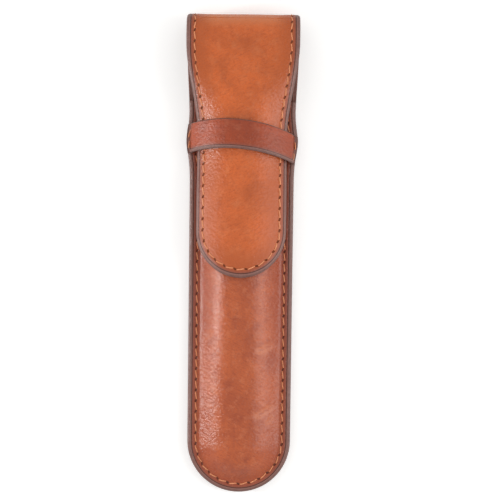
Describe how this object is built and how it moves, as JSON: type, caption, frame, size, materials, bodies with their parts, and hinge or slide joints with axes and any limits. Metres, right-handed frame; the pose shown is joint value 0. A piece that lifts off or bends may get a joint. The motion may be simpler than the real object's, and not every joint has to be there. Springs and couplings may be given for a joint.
{
  "type": "pen sleeve",
  "caption": "Slim stitched leather sleeve for a single pen, with a domed front, a fold-over flap and a keeper strap.",
  "frame": {"origin": "bottom centre of the closed sleeve's box, on the outer face of its back", "axes": "+X across the sleeve, +Y towards the fold, +Z out of the front"},
  "size_m": [0.0388, 0.165, 0.0183],
  "materials": {
    "tan_leather": "glossy smooth vegetable-tanned leather with painted edges",
    "strap_leather": "smooth vegetable-tanned leather, a little darker",
    "lining_leather": "matt lining leather",
    "thread": "waxed linen thread"
  },
  "bodies": {
    "sleeve": {"back_leather": "tan_leather", "back_lining": "lining_leather", "front_leather": "tan_leather", "front_lining": "lining_leather", "keeper_strap": "strap_leather", "side_seam_front": "thread", "side_seam_back": "thread", "mouth_seam": "thread", "strap_seam": "thread", "head_seam": "thread"},
    "fold_1": {"fold_leather_1": "tan_leather", "fold_lining_1": "lining_leather", "fold_seam_1": "thread"},
    "fold_2": {"fold_leather_2": "tan_leather", "fold_lining_2": "lining_leather", "fold_seam_2": "thread"},
    "fold_3": {"fold_leather_3": "tan_leather", "fold_lining_3": "lining_leather", "fold_seam_3": "thread"},
    "flap": {"flap_leather": "tan_leather", "flap_lining": "lining_leather", "flap_seam_top": "thread", "flap_seam_under": "thread"}
  },
  "joints": [
    {"name": "flap_fold", "type": "hinge", "parent": "sleeve", "child": "fold_1", "pos_m": [0, 0.07849, 0.00049], "axis": [-1, 0, 0], "range_deg": [0, 42.5], "deforming": ["keeper_strap"]},
    {"name": "fold_bend_2", "type": "hinge", "parent": "fold_1", "child": "fold_2", "pos_m": [0, 0.08201, 0.00401], "axis": [-1, 0, 0], "range_deg": [0, 42.5]},
    {"name": "fold_bend_3", "type": "hinge", "parent": "fold_2", "child": "fold_3", "pos_m": [0, 0.08201, 0.00899], "axis": [-1, 0, 0], "range_deg": [0, 42.5]},
    {"name": "fold_bend_4", "type": "hinge", "parent": "fold_3", "child": "flap", "pos_m": [0, 0.07849, 0.01251], "axis": [-1, 0, 0], "range_deg": [0, 42.5]}
  ],
  "couplings": [
    {"joint": "fold_bend_2", "follows": "flap_fold", "ratio": 1},
    {"joint": "fold_bend_3", "follows": "flap_fold", "ratio": 1},
    {"joint": "fold_bend_4", "follows": "flap_fold", "ratio": 1}
  ]
}
